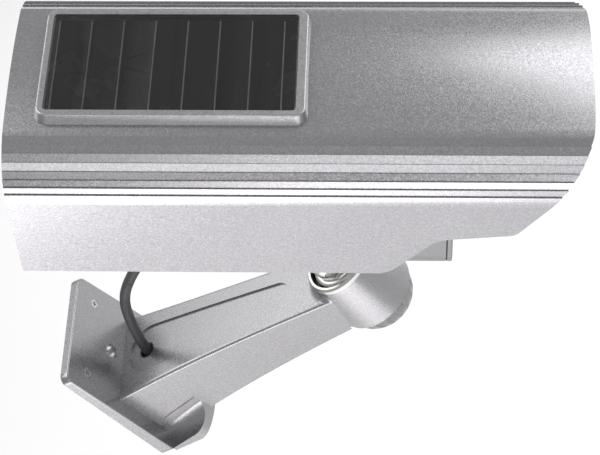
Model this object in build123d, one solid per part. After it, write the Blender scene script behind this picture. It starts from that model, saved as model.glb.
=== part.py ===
from build123d import *

import os
from collections import namedtuple
from math import asin, atan2, cos, degrees, pi, radians, sin, tan

os.makedirs("parts", exist_ok=True)

# A solar security camera on a cast wall bracket, in millimetres.
#
# Wall frame: +X points out of the wall, +Z up the wall, and the origin is the
# centre of the wall plate's back face. The bracket is drawn in this frame.
#
# Camera frame: +X points forward out of the lens, +Z up, and the origin is on
# the crown of the sun shield at its rear end. Everything that tilts is drawn in
# this frame, and placed() carries it onto the tilt pin at its rest angle.

# ---------------------------------------------------------------- sizes
# Shared values: a cut that goes right through a piece runs to FAR, and one that
# only opens a face runs PAST it
FAR = 300.0
PAST = 1.0
RUNNING_GAP = 0.05
FACE_GAP = 0.05
SEAT_GAP = 0.1
CABLE_R = 3.0

# Wall plate: a wedge, thicker and a little wider at its foot
PLATE_HEIGHT = 90.5
PLATE_WIDTH_TOP = 71.0
PLATE_WIDTH_FOOT = 77.0
PLATE_THICK_TOP = 5.4
PLATE_THICK_FOOT = 8.0
PLATE_CORNER = 5.0
PLATE_EDGE_R = 0.9
MOUNT_HOLE_R = 4.3
MOUNT_HOLE_HIGH = 13.5
MOUNT_HOLE_SPACING = 42.0
BACKING_HALF_WIDTH = 31.0
BACKING_THICK = 2.6
BACKING_CORNER = 2.0
PLATE_SCREW_HALF_SPAN = 23.7
PLATE_SCREW_HEIGHT = PLATE_HEIGHT / 2 - 14.45
BACKING_LOW = PLATE_SCREW_HEIGHT - 8.3
BACKING_HIGH = PLATE_SCREW_HEIGHT + 7.7

# Arm: a hollow casting that narrows towards the hub
HUB_X = 165.0
ARM_TOP = 4.1
ARM_DROOP = 5.4
ARM_WALL = 3.2
ARM_ROOT_WALL = 4.0
ARM_ROOF = 2.2
ARM_FLOOR = 3.0
ARM_EDGE_R = 1.8
ARM_HALF_WIDTHS = ((0.0, 28.6), (51.0, 23.2), (93.0, 20.3), (HUB_X, 16.6))
ARM_RECESS_DEPTH = 1.3
ARM_RECESS_ENDS = ((27.0, 15.4), (HUB_X - 47.5, 8.6))
TOE_LENGTH = 44.0
TOE_HALF_WIDTH = PLATE_WIDTH_FOOT / 2 - 0.7
TOE_NOSE = 16.0
TOE_FLARE = 15.0
TOE_EDGE_REAR = -PLATE_HEIGHT / 2 + 1.35
TOE_EDGE_FRONT = -PLATE_HEIGHT / 2 + 8.75
ARM_UNDERSIDE = ((TOE_LENGTH, -PLATE_HEIGHT / 2 + 9.05), (95.0, -31.2), (HUB_X, -27.4))
COVER_THICK = 2.4
COVER_START = TOE_LENGTH + 3.0
COVER_END = HUB_X - 28.0
COVER_GAP = 0.2
COVER_SCREW_X = (COVER_START + 7.0, COVER_END - 8.0)
COVER_SCREW_SINK = 0.9
COVER_POST_R = 4.0
ARM_SCREW_HALF_SPAN = 19.8
ARM_SCREW_HEIGHTS = (-5.5, -PLATE_HEIGHT / 2 + 10.25)
ARM_BOSS_R = 4.4
ARM_BOSS_END = 23.0
ANCHOR_HEAD_ROOM = 5.0
CABLE_HOLE_X = 23.6
GROMMET_BORE_R = CABLE_R + 1.2
CABLE_HOLE_R = GROMMET_BORE_R + 0.9
GROMMET_HEIGHT = 2.2

# Hub: a flared barrel at the arm's end, with the swivel inside
HUB_TOP = 6.3
HUB_FOOT = -26.0
HUB_BORE_R = 17.0
HUB_TOP_R = HUB_BORE_R + 1.9
HUB_FOOT_R = HUB_TOP_R + 4.3
SHOULDER_Z = -7.0
WEB_THICK = 7.0
HUB_BLEND_R = 6.0
RING_HEIGHT = 3.3
RING_R = HUB_TOP_R + 0.7
RING_CHAMFER = 1.0
RING_BORE_GAP = 0.3
RING_SPIGOT_WALL = 0.9
RING_SPIGOT_DEPTH = 3.0
HUB_FOOT_BORE_R = HUB_BORE_R - 3.0

# Swivel: a domed yoke that pans in the hub and carries the tilt pin
PIVOT_Z = 13.5
DOME_R = HUB_BORE_R - 4.0
DRUM_R = HUB_BORE_R - 1.2
DRUM_TOP = 9.2
DRUM_EDGE_R = 2.4
YOKE_FLANGE_THICK = 4.0
YOKE_FLANGE_EDGE = 0.6
YOKE_STUB_R = 7.9
YOKE_STUB_FOOT = -20.0
FRICTION_WASHER_THICK = 1.0
TILT_PIN_R = 3.0
TILT_PIN_HALF_LENGTH = DOME_R - 0.8
STEM_EYE_R = TILT_PIN_R + 6.0
STEM_EYE_WIDTH = 10.0
STEM_SIDE_GAP = 0.15
STEM_EYE_ROOM = 0.6
STEM_THREAD_R = 5.0
STEM_COLLAR_R = 7.5
STEM_COLLAR_START = 12.0
STEM_COLLAR_FULL = 17.0

# Clamp knob under the hub
KNOB_HEIGHT = 11.6
KNOB_TOP_R = HUB_FOOT_R - 2.2
KNOB_FOOT_R = KNOB_TOP_R - 5.0
KNOB_BULGE = 1.3
KNOB_FLUTES = 20
KNOB_FLUTE_R = 1.5
KNOB_FLUTE_OUT = 1.7
KNOB_HOLLOW_R = 10.5
KNOB_HOLLOW_DEPTH = 1.6
THRUST_WASHER_THICK = 1.2
THRUST_WASHER_BORE_R = HUB_FOOT_BORE_R + 0.6
CLAMP_SCREW_R = 4.0
CLAMP_SCREW_TOP = -10.0

# Placing of the camera on the tilt pin
REST_TILT = 36.3
PIVOT_FORWARD = 151.3
PIVOT_DROP = 153.5

# Sun shield: a domed extrusion with a slanted visor
SHIELD_LENGTH = 280.0
SHIELD_HEIGHT = 90.4
SHIELD_HALF_WIDTH = 60.2
SHIELD_CROWN_R = 251.5
SHIELD_SHOULDER_R = 27.5
SHIELD_DRAFT = 3.4
SHIELD_WALL = 2.0
RIB_COUNT = 7
RIB_FIRST_ANGLE = 26.0
RIB_PITCH_ANGLE = 9.0
RIB_DEPTH = 0.7
SHIELD_SIDE_ROOM = 10.2
SHIELD_OPEN_HALF_WIDTH = SHIELD_HALF_WIDTH - SHIELD_SIDE_ROOM
VISOR_HEIGHT = 56.0
VISOR_FRONT = 243.5
SHIELD_LOWER_FRONT = 182.0

# Solar panel and its frame
SOLAR_REAR = 18.65
SOLAR_LENGTH = 120.0
SOLAR_WIDTH = 61.0
SOLAR_TOP = 3.0
SOLAR_COVER_THICK = 0.8
SOLAR_CELL_THICK = 0.4
SOLAR_BOARD_THICK = 1.6
SOLAR_CELLS = 7
SOLAR_CELL_GAP = 0.7
SOLAR_BORDER = 3.15
SOLAR_FRONT_STRIP = 7.09
SOLAR_CELL_PITCH = (SOLAR_LENGTH - SOLAR_BORDER - SOLAR_FRONT_STRIP) / SOLAR_CELLS
SOLAR_EDGE_GAP = 0.4
FRAME_LIP_TOP = 3.5
FRAME_BORDER_REAR = 3.2
FRAME_BORDER_FRONT = 4.5
FRAME_BORDER_SIDE = 3.1
FRAME_DRAFT = 1.6
FRAME_CORNER = 5.0
FRAME_EDGE_R = 0.8
FRAME_LEDGE = 3.0
PANEL_CORNER = 1.9
LEAD_X = SOLAR_REAR + 30.0
LEAD_R = 2.0
LEAD_HOLE_R = 3.5
BUSH_R = 3.4
BUSH_FLANGE_R = 5.0
BUSH_FLANGE_THICK = 1.5

# Camera housing under the shield
HOUSING_REAR = 18.0
HOUSING_FRONT = 211.5
HOUSING_TOP = -12.0
HOUSING_BOTTOM = -97.0
HOUSING_HALF_WIDTH = SHIELD_HALF_WIDTH - SHIELD_SIDE_ROOM
HOUSING_TOP_R = 22.0
HOUSING_LOW_R = 12.0
HOUSING_WALL = 2.5
GASKET_THICK = 0.7
BEZEL_THICK = 2.5
REAR_COVER_THICK = 4.0
SPIGOT_LENGTH = 7.0
SPIGOT_GAP = 0.2
SPIGOT_WALL = 2.4
BOSS_R = 4.0
BOSS_LENGTH = 18.0
BEZEL_EDGE_R = 0.9
REAR_COVER_EDGE_R = 1.6
REAR_PAD = (64.0, 44.0)
REAR_PAD_CORNER = 8.0
REAR_PAD_THICK = 1.2
HIGH_BOSS = (HOUSING_HALF_WIDTH - 10.0, HOUSING_TOP - 10.0)
LOW_BOSS = (HOUSING_HALF_WIDTH - 7.0, HOUSING_BOTTOM + 8.0)

# Lens, lights and window
OPTIC_Z = -54.0
WINDOW_R = 33.0
WINDOW_OPENING_R = WINDOW_R - 3.0
WINDOW_OPENING_FLARE = 1.5
WINDOW_THICK = 2.6
WINDOW_RETAINER_THICK = 2.2
WINDOW_CUP_WALL = 3.6
LED_BOARD_X = HOUSING_FRONT - 10.3
LED_BOARD_THICK = 1.6
LED_CIRCLE_R = 25.5
LED_COUNT = 10
LED_R = 2.5
LED_HEIGHT = 2.4
LED_NOSE_R = 2.2
SENSOR_WINDOW_HEIGHT = 2.0
BARREL_R = 17.0
BARREL_BORE_R = BARREL_R - 2.4
BARREL_FRONT = HOUSING_FRONT - 5.5
BARREL_REAR = BARREL_FRONT - 34.0
BARREL_SEAT = 12.0
BARREL_EDGE = 0.8
FOCUS_GROOVES = (18.0, 15.0, 12.0)
FRONT_LENS_THICK = 5.5
FRONT_LENS_SINK = 1.5
FRONT_LENS_RIM = 1.5
REAR_LENS_R = 10.0
REAR_LENS_START = 2.0
REAR_LENS_THICK = 6.0
STOP_R = 8.0
LENS_MOUNT_HALF = 21.0
LENS_MOUNT_CORNER = 4.0
FILTER_R = 9.0
FILTER_START = 8.0
FILTER_THICK = 1.4
SENSOR_HALF = 5.5
SENSOR_THICK = 1.5
SENSOR_BOARD_X = BARREL_REAR - 20.0
SENSOR_BOARD_THICK = 1.6

# Electronics and power
SPACER_X = (52.0, 118.0)
SPACER_Y = 24.5
SPACER_R = 4.0
BOARD_INSET = 5.0
BOARD_POST_R = 3.2
CHIP_HEIGHT = 1.6
CONNECTOR_HEIGHT = 6.5
CAPACITOR_R = 4.0
CAPACITOR_HEIGHT = 9.0
BOARD_REAR = 84.0
BOARD_LENGTH = 60.0
BOARD_HALF_WIDTH = 34.0
BOARD_Z = HOUSING_BOTTOM + 14.0
BOARD_THICK = 1.6
BATTERY_R = 7.1
BATTERY_LENGTH = 50.0
BATTERY_COUNT = 3
BATTERY_PITCH = 2 * BATTERY_R + 1.2
HOLDER_REAR = 74.0
HOLDER_FLOOR = -62.0
HOLDER_WALL = 2.0
HOLDER_HEIGHT = 13.0
HOLDER_LEG_R = 3.0
HOLDER_LEG_Y = 14.0
CELL_TIP_R = 2.6
CELL_TIP_LENGTH = 1.0
BUTTON_R = 6.0
BUTTON_TRAVEL = 1.5
BUTTON_Z = -50.0
BUTTON_PROUD = 0.6
BUTTON_EDGE_R = 1.0
BUTTON_GUIDE = 5.0
BUTTON_SOCKET_WALL = 4.0
BUTTON_SHANK_R = 2.9
BUTTON_SPRING_R = 4.1
BUTTON_SPRING_BORE_R = 3.3
BUTTON_SPRING_ROOM = 0.3
BUTTON_HOLLOW_DEPTH = 3.0

# Camera foot and stem
FOOT_PAD_LENGTH = 64.0
FOOT_PAD_HALF_WIDTH = 22.0
FOOT_PAD_THICK = 5.0
FOOT_BOSS_R = 13.0
FOOT_BOSS_HEIGHT = 12.0
FOOT_BOSS_TAPER = 1.5
FOOT_CORNER = 8.0
FOOT_EDGE_R = 1.2
FOOT_SCREW_INSET_X = 8.0
FOOT_SCREW_INSET_Y = 7.0
LOCK_NUT_HEIGHT = 6.0
LOCK_NUT_R = 9.2

# Screws
SCREW_CLEAR = 0.2
HEAD_GAP = 0.1
Screw = namedtuple("Screw", "shank_r length head_r head_height")
PLATE_SCREW = Screw(1.5, 5.6, 2.8, 1.6)
ARM_SCREW = Screw(2.0, 19.0, 4.2, 2.4)
COVER_SCREW = Screw(1.4, 12.0, 2.8, 1.8)
FOOT_SCREW = Screw(2.0, 13.0, 3.6, 2.4)
SHIELD_SCREW = Screw(1.5, 12.6, 3.0, 2.0)
END_SCREW = Screw(1.3, 15.0, 3.0, 1.5)
BOARD_SCREW = Screw(1.3, 8.0, 2.8, 1.8)

# Cable and its gland
GLAND_X = 64.0
GLAND_BORE_R = CABLE_R + 0.3
GLAND_THREAD_R = GLAND_BORE_R + 2.7
GLAND_FLANGE_HEIGHT = 4.5
GLAND_HEX_R = GLAND_THREAD_R + 4.0
GLAND_THREAD_LENGTH = 5.0
GLAND_CAP_HEIGHT = 12.0
GLAND_CAP_R = GLAND_THREAD_R + 2.4
GLAND_NOSE_R = GLAND_BORE_R + 1.7
GLAND_NOSE_HEIGHT = 4.5
GLAND_GROOVES = 12
GLAND_GROOVE_R = 1.0
CABLE_ROUTE = (
    (125.13, 0.0, 106.69),
    (110.92, 0.0, 87.35),
    (90.0, 0.0, 75.2),
    (67.0, 0.0, 64.2),
    (47.5, 0.0, 49.8),
    (35.4, 0.0, 30.2),
    (26.2, 0.0, 10.0),
    (21.4, 0.0, -6.5),
    (22.6, 0.0, -20.0),
)


# ---------------------------------------------------------------- helpers
def save(name, shape):
    """Write one sub-part to its own STEP file."""
    shape.label = name
    export_step(shape, f"parts/{name}.step")


def placed(shape):
    """Carry a piece from the camera frame to its place on the tilt pin."""
    return Pos(HUB_X, 0, PIVOT_Z) * Rot(0, REST_TILT, 0) * Pos(-PIVOT_FORWARD, 0, PIVOT_DROP) * shape


def block(x_range, y_range, z_range):
    """Box between two corners, given as a range on each axis."""
    centre = [(low + high) / 2 for low, high in (x_range, y_range, z_range)]
    sides = [high - low for low, high in (x_range, y_range, z_range)]
    return Pos(*centre) * Box(*sides)


def rod_z(radius, bottom, top, x=0.0, y=0.0):
    """Upright cylinder."""
    return Pos(x, y, (bottom + top) / 2) * Cylinder(radius, top - bottom)


def rod_x(radius, start, end, y=0.0, z=0.0):
    """Cylinder along X."""
    return Pos((start + end) / 2, y, z) * Rot(0, 90, 0) * Cylinder(radius, end - start)


def rod_y(radius, start, end, x=0.0, z=0.0):
    """Cylinder along Y."""
    return Pos(x, (start + end) / 2, z) * Rot(90, 0, 0) * Cylinder(radius, end - start)


def cone_z(foot_radius, top_radius, bottom, top, x=0.0, y=0.0):
    """Upright cone."""
    return Pos(x, y, (bottom + top) / 2) * Cone(foot_radius, top_radius, top - bottom)


def cone_x(start_radius, end_radius, start, end, y=0.0, z=0.0):
    """Cone along X."""
    return Pos((start + end) / 2, y, z) * Rot(0, 90, 0) * Cone(start_radius, end_radius, end - start)


def ring_z(outer, inner, bottom, top, x=0.0, y=0.0):
    """Upright tube."""
    return rod_z(outer, bottom, top, x, y) - rod_z(inner, bottom - PAST, top + PAST, x, y)


def ring_x(outer, inner, start, end, y=0.0, z=0.0):
    """Tube along X."""
    return rod_x(outer, start, end, y, z) - rod_x(inner, start - PAST, end + PAST, y, z)


def prism_x(face, start, end):
    """Extrude a face drawn on (Y, Z) between two stations."""
    return extrude(Plane((start, 0, 0), x_dir=(0, 1, 0), z_dir=(1, 0, 0)) * face, end - start)


def prism_y(face, half_width):
    """Extrude a face drawn on (X, Z) to both sides of the centre plane."""
    plane = Plane((0, half_width, 0), x_dir=(1, 0, 0), z_dir=(0, -1, 0))
    return extrude(plane * face, 2 * half_width)


def upright(face):
    """Extrude a face drawn on (X, Y) far up and down."""
    return extrude(Pos(0, 0, -FAR) * face, 2 * FAR)


def polygon(*points):
    """Closed face through a list of corners."""
    return make_face(Polyline(*points, close=True))


def screw_x(x, y, z, way, screw):
    """Countersunk screw along X; way is +1 when its tip points to +X."""
    body = cone_x(screw.head_r, screw.shank_r, 0, screw.head_height)
    body += rod_x(screw.shank_r, 0, screw.length)
    reach, arm_width, depth = screw.head_r * 1.1, 0.7, 1.4
    cross = Box(depth, reach, arm_width) + Box(depth, arm_width, reach)
    turn = 0 if way > 0 else 180
    return Pos(x, y, z) * Rot(0, turn, 0) * (body - cross)


def countersunk_hole_x(x, y, z, way, screw):
    """Clearance hole for a screw along X, with a countersink in the face at x."""
    sink_r = screw.head_r + 2 * HEAD_GAP
    hole = cone_x(sink_r, screw.shank_r, 0, screw.head_height + HEAD_GAP) + rod_x(sink_r, -PAST, 0)
    hole += rod_x(screw.shank_r + SCREW_CLEAR, 0, screw.length)
    turn = 0 if way > 0 else 180
    return Pos(x, y, z) * Rot(0, turn, 0) * hole


def pan_screw_z(x, y, z, way, screw):
    """Pan-head screw along Z; z is under the head and way points along the tip."""
    head = rod_z(screw.head_r, -screw.head_height, 0)
    head = fillet(head.edges().group_by(Axis.Z)[0], screw.head_height * 0.4)
    reach, arm_width, depth = screw.head_r * 1.2, 0.8, 1.8
    cross = Box(reach, arm_width, depth) + Box(arm_width, reach, depth)
    body = head + rod_z(screw.shank_r, 0, screw.length) - Pos(0, 0, -screw.head_height) * cross
    turn = 0 if way > 0 else 180
    return Pos(x, y, z) * Rot(turn, 0, 0) * body


# ---------------------------------------------------------------- wall plate
def plate_wedge():
    """The plate's thickness in side view, with both faces flat."""
    half = PLATE_HEIGHT / 2
    side = polygon((0, half), (PLATE_THICK_TOP, half), (PLATE_THICK_FOOT, -half), (0, -half))
    return prism_y(side, PLATE_WIDTH_FOOT)


def plate_face_x(z):
    """How far the plate's front face stands off the wall at a height."""
    share = (PLATE_HEIGHT / 2 - z) / PLATE_HEIGHT
    return PLATE_THICK_TOP + (PLATE_THICK_FOOT - PLATE_THICK_TOP) * share


def mount_holes():
    heights = (MOUNT_HOLE_HIGH, MOUNT_HOLE_HIGH - MOUNT_HOLE_SPACING)
    return [rod_x(MOUNT_HOLE_R, -PAST, PLATE_THICK_FOOT + PAST, 0, z) for z in heights]


def plate_screw_places():
    return [(y, PLATE_SCREW_HEIGHT) for y in (-PLATE_SCREW_HALF_SPAN, PLATE_SCREW_HALF_SPAN)]


def arm_screw_places():
    spans = (-ARM_SCREW_HALF_SPAN, ARM_SCREW_HALF_SPAN)
    return [(y, z) for z in ARM_SCREW_HEIGHTS for y in spans]


def plate_screws():
    """Two small countersunk screws from the front into the backing plate."""
    front = plate_face_x(PLATE_SCREW_HEIGHT) - HEAD_GAP
    screw = PLATE_SCREW._replace(length=front - SEAT_GAP)
    return [screw_x(front, y, z, -1, screw) for y, z in plate_screw_places()]


def arm_screws():
    """Four countersunk screws from the back of the plate into the arm's bosses."""
    return [screw_x(HEAD_GAP, y, z, 1, ARM_SCREW) for y, z in arm_screw_places()]


def wall_plate():
    half = PLATE_HEIGHT / 2
    top, foot = PLATE_WIDTH_TOP / 2, PLATE_WIDTH_FOOT / 2
    outline = polygon((-foot, -half), (foot, -half), (top, half), (-top, half))
    outline = fillet(outline.vertices(), PLATE_CORNER)
    body = prism_x(outline, 0, FAR) & plate_wedge()
    body = fillet(body.faces().sort_by(Axis.X)[-1].outer_wire().edges(), PLATE_EDGE_R)
    y_range = (-BACKING_HALF_WIDTH, BACKING_HALF_WIDTH)
    body -= block((-PAST, BACKING_THICK), y_range, (BACKING_LOW, BACKING_HIGH))
    for hole in mount_holes():
        body -= hole
    front = plate_face_x(PLATE_SCREW_HEIGHT)
    for y, z in plate_screw_places():
        body -= countersunk_hole_x(front, y, z, -1, PLATE_SCREW)
    for y, z in arm_screw_places():
        body -= countersunk_hole_x(0, y, z, 1, ARM_SCREW)
    return body


def backing_plate():
    """Steel strip let into the back of the wall plate, flush with it."""
    half = BACKING_HALF_WIDTH - SEAT_GAP
    body = block((0, BACKING_THICK), (-half, half), (BACKING_LOW + SEAT_GAP, BACKING_HIGH - SEAT_GAP))
    body = fillet(body.edges().filter_by(Axis.X), BACKING_CORNER)
    for y, z in plate_screw_places():
        body -= rod_x(PLATE_SCREW.shank_r, -PAST, BACKING_THICK + PAST, y, z)
    return body


# ---------------------------------------------------------------- arm
def arm_plan(inset):
    """Plan view of the arm, from above, with its sides drawn in by an inset."""
    side = Spline(*[(x, half - inset) for x, half in ARM_HALF_WIDTHS])
    other = mirror(side, Plane.XZ)
    ends = Line(side @ 0, other @ 0) + Line(side @ 1, other @ 1)
    return make_face(side + other + ends)


def arm_side(top_drop, lift):
    """Side view of the arm, with its top lowered and its underside lifted."""
    last = HUB_X
    middle = last * 0.52
    top = ThreePointArc(
        (0, ARM_TOP - top_drop),
        (middle, ARM_TOP - top_drop - ARM_DROOP * 0.24),
        (last, ARM_TOP - top_drop - ARM_DROOP),
    )
    low = ThreePointArc(*[(x, z + lift) for x, z in ARM_UNDERSIDE])
    root_low = (0, -PLATE_HEIGHT / 2 + 1.0 + lift)
    rest = Line(top @ 1, low @ 1) + Line(low @ 0, root_low) + Line(root_low, top @ 0)
    return make_face(top + low + rest)


def toe_section(x, arm_half, toe_half, edge_z):
    """Section of the toe at a station: flared sides that fade into the arm's walls."""
    floor = -PLATE_HEIGHT / 2
    high = edge_z + TOE_FLARE
    hollow = 0.24
    middle = (arm_half + (toe_half - arm_half) * hollow, edge_z + TOE_FLARE * hollow)
    flare = ThreePointArc((arm_half, high), middle, (toe_half, edge_z))
    side = flare + Line((toe_half, edge_z), (toe_half, floor))
    ends = Line((arm_half, high), (-arm_half, high)) + Line((toe_half, floor), (-toe_half, floor))
    section = make_face(side + mirror(side, Plane.YZ) + ends)
    return Plane((x, 0, 0), x_dir=(0, 1, 0), z_dir=(1, 0, 0)) * section


def arm_toe():
    """Wide toe under the arm's root, as wide as the plate, with a rounded nose."""
    floor = -PLATE_HEIGHT / 2
    nose_x, nose_z = ARM_UNDERSIDE[0]
    bend = TOE_LENGTH - TOE_NOSE
    root_half, second_half = [half for _, half in ARM_HALF_WIDTHS[:2]]
    taper = (root_half - second_half) * TOE_LENGTH / ARM_HALF_WIDTHS[1][0]
    rear = toe_section(0, root_half - 0.2, TOE_HALF_WIDTH, TOE_EDGE_REAR)
    front = toe_section(TOE_LENGTH + 2, root_half - taper - 0.2, TOE_HALF_WIDTH - 2, TOE_EDGE_FRONT)
    flare = loft([rear, front], ruled=True)
    nose = ThreePointArc((bend, floor), (bend + 9.5, floor + 3.2), (nose_x, nose_z))
    high = nose_z + TOE_FLARE + 10
    rest = Polyline((nose_x, nose_z), (nose_x + 1, high), (0, high), (0, floor), (bend, floor))
    side = make_face(nose + rest)
    plan = Rectangle(2 * bend - 4, 2 * TOE_HALF_WIDTH)
    plan += Pos(bend - 2, 0) * Ellipse(TOE_NOSE + 2, TOE_HALF_WIDTH - 1)
    return flare & prism_y(side, TOE_HALF_WIDTH + PAST) & upright(plan)


def arm_hub():
    return cone_z(HUB_FOOT_R, HUB_TOP_R, HUB_FOOT, HUB_TOP, HUB_X)


def cover_opening(gap):
    """Upright prism through the arm's open underside, drawn in by a gap."""
    x_range = (COVER_START + gap, COVER_END - gap)
    return upright(arm_plan(ARM_WALL + gap)) & block(x_range, (-FAR, FAR), (-FAR, FAR))


def arm_cavity():
    """Hollow inside the arm, and the opening under it that the cover closes."""
    roof = ARM_RECESS_DEPTH + ARM_ROOF
    room = upright(arm_plan(ARM_WALL)) & prism_y(arm_side(roof, ARM_FLOOR), FAR)
    room &= block((PLATE_THICK_FOOT + ARM_ROOT_WALL, COVER_END), (-FAR, FAR), (-FAR, FAR))
    return room + (cover_opening(0) & prism_y(arm_side(roof, -ARM_FLOOR), FAR))


def arm_recess():
    """Shallow tapered racetrack let into the arm's top face."""
    (x1, r1), (x2, r2) = ARM_RECESS_ENDS
    lean = asin((r1 - r2) / (x2 - x1))
    a = (x1 + r1 * sin(lean), r1 * cos(lean))
    b = (x2 + r2 * sin(lean), r2 * cos(lean))
    shape = polygon(a, b, (b[0], -b[1]), (a[0], -a[1]))
    shape += Pos(x1, 0) * Circle(r1)
    shape += Pos(x2, 0) * Circle(r2)
    deep = extrude(Pos(0, 0, ARM_TOP - 2 * ARM_DROOP) * shape, FAR)
    return deep - prism_y(arm_side(ARM_RECESS_DEPTH, 0), FAR)


def arm():
    """Arm, toe and hub as one aluminium casting, hollow and open underneath."""
    beam = upright(arm_plan(0)) & prism_y(arm_side(0, 0), FAR)
    top_edges = beam.faces().sort_by(Axis.Z)[-1].edges().filter_by(GeomType.BSPLINE)
    beam = fillet(top_edges, ARM_EDGE_R)
    hub = arm_hub()
    body = beam + hub
    joins = new_edges(beam, hub, combined=body)
    along_hub = [edge for edge in joins if edge.bounding_box().size.Z > HUB_BLEND_R * 2]
    body = fillet(along_hub, HUB_BLEND_R) + arm_toe()
    body -= arm_recess()
    body -= arm_cavity()
    under_recess = prism_y(arm_side(ARM_RECESS_DEPTH + PAST, COVER_THICK), FAR)
    for x in COVER_SCREW_X:
        body += rod_z(COVER_POST_R, -FAR, ARM_TOP, x) & under_recess
        body -= rod_z(COVER_SCREW.shank_r, -FAR, underside_z(x) + COVER_SCREW.length + 2 * PAST, x)
    for y, z in arm_screw_places():
        body += rod_x(ARM_BOSS_R, 0, ARM_BOSS_END, y, z)
        body -= rod_x(ARM_SCREW.shank_r, -PAST, ARM_SCREW.length + 2 * PAST, y, z)
    room_end = PLATE_THICK_FOOT + ARM_ROOT_WALL + PAST
    body -= rod_x(MOUNT_HOLE_R + ANCHOR_HEAD_ROOM, 0, room_end, 0, MOUNT_HOLE_HIGH - MOUNT_HOLE_SPACING)
    body -= rod_z(CABLE_HOLE_R, -ARM_WALL, FAR, CABLE_HOLE_X)
    body -= rod_z(HUB_BORE_R, SHOULDER_Z, FAR, HUB_X)
    body -= rod_z(YOKE_STUB_R + RUNNING_GAP, -FAR, 0, HUB_X)
    body -= rod_z(HUB_FOOT_BORE_R, -FAR, SHOULDER_Z - WEB_THICK, HUB_X)
    body -= rod_z(HUB_FOOT_R + PAST, -FAR, HUB_FOOT, HUB_X)
    body -= rod_z(HUB_BORE_R + RING_SPIGOT_WALL, HUB_TOP - RING_SPIGOT_DEPTH, FAR, HUB_X)
    return body - plate_wedge()


def hub_ring():
    """Bright turned ring pressed into the mouth of the hub."""
    top = HUB_TOP + RING_HEIGHT
    lip = rod_z(RING_R, HUB_TOP, top, HUB_X)
    lip = chamfer(lip.edges().group_by(Axis.Z)[-1], RING_CHAMFER)
    spigot = rod_z(HUB_BORE_R + RING_SPIGOT_WALL, HUB_TOP - RING_SPIGOT_DEPTH, HUB_TOP, HUB_X)
    return lip + spigot - rod_z(HUB_BORE_R + RING_BORE_GAP, -FAR, FAR, HUB_X)


def arm_cover():
    """Arched cover that closes the arm's underside."""
    band = prism_y(arm_side(0, 0), FAR) - prism_y(arm_side(-FAR, COVER_THICK), FAR)
    body = band & cover_opening(COVER_GAP)
    for x in COVER_SCREW_X:
        body -= rod_z(COVER_SCREW.shank_r + SCREW_CLEAR, -FAR, 0, x)
        body -= rod_z(COVER_SCREW.head_r + 2 * SCREW_CLEAR, -FAR, cover_screw_seat(x), x)
    return body


def underside_z(x):
    """Height of the arm's underside on its arc through three points."""
    (x1, z1), (x2, z2), (x3, z3) = ARM_UNDERSIDE
    first = (x - x2) * (x - x3) / ((x1 - x2) * (x1 - x3)) * z1
    second = (x - x1) * (x - x3) / ((x2 - x1) * (x2 - x3)) * z2
    third = (x - x1) * (x - x2) / ((x3 - x1) * (x3 - x2)) * z3
    return first + second + third


def cover_screw_seat(x):
    """Height of the flat that is sunk into the cover under a screw's head."""
    return underside_z(x) + COVER_SCREW_SINK


def arm_cover_screws():
    return [pan_screw_z(x, 0, cover_screw_seat(x), 1, COVER_SCREW) for x in COVER_SCREW_X]


def cable_grommet():
    """Thin rubber bush in the cable hole, a loose fit on the cable."""
    top = ARM_TOP - ARM_RECESS_DEPTH
    return ring_z(CABLE_HOLE_R - SEAT_GAP, GROMMET_BORE_R, top - GROMMET_HEIGHT, top, CABLE_HOLE_X)


# ---------------------------------------------------------------- swivel and clamp
def swivel_yoke():
    """Domed yoke: its flange turns in the hub and its slot holds the stem."""
    flange_foot = SHOULDER_Z + FRICTION_WASHER_THICK
    flange_top = flange_foot + YOKE_FLANGE_THICK
    body = rod_z(HUB_BORE_R - RUNNING_GAP, flange_foot, flange_top, HUB_X)
    body = chamfer(body.edges().group_by(Axis.Z)[-1], YOKE_FLANGE_EDGE)
    drum = rod_z(DRUM_R, flange_foot, DRUM_TOP, HUB_X)
    body += fillet(drum.edges().group_by(Axis.Z)[-1], DRUM_EDGE_R)
    body += Pos(HUB_X, 0, PIVOT_Z) * Sphere(DOME_R)
    slot = STEM_EYE_WIDTH / 2 + STEM_SIDE_GAP
    body -= block((-FAR, FAR), (-slot, slot), (DRUM_TOP, FAR))
    body -= rod_y(STEM_EYE_R + STEM_EYE_ROOM, -slot, slot, HUB_X, PIVOT_Z)
    body += rod_z(YOKE_STUB_R, YOKE_STUB_FOOT, flange_foot, HUB_X)
    body -= rod_z(CLAMP_SCREW_R + RUNNING_GAP, -FAR, CLAMP_SCREW_TOP + 2 * PAST, HUB_X)
    return body - rod_y(TILT_PIN_R, -FAR, FAR, HUB_X, PIVOT_Z)


def friction_washer():
    top = SHOULDER_Z + FRICTION_WASHER_THICK
    return ring_z(HUB_BORE_R - 3 * SEAT_GAP, YOKE_STUB_R + 4 * SEAT_GAP, SHOULDER_Z, top, HUB_X)


def tilt_pin():
    body = rod_y(TILT_PIN_R, -TILT_PIN_HALF_LENGTH, TILT_PIN_HALF_LENGTH, HUB_X, PIVOT_Z)
    return chamfer(body.edges().filter_by(GeomType.CIRCLE), 0.4)


def thrust_washer():
    top = HUB_FOOT - FACE_GAP
    return ring_z(HUB_FOOT_R - 2.5, THRUST_WASHER_BORE_R, top - THRUST_WASHER_THICK, top, HUB_X)


def knob_top():
    return HUB_FOOT - FACE_GAP - THRUST_WASHER_THICK - FACE_GAP


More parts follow.
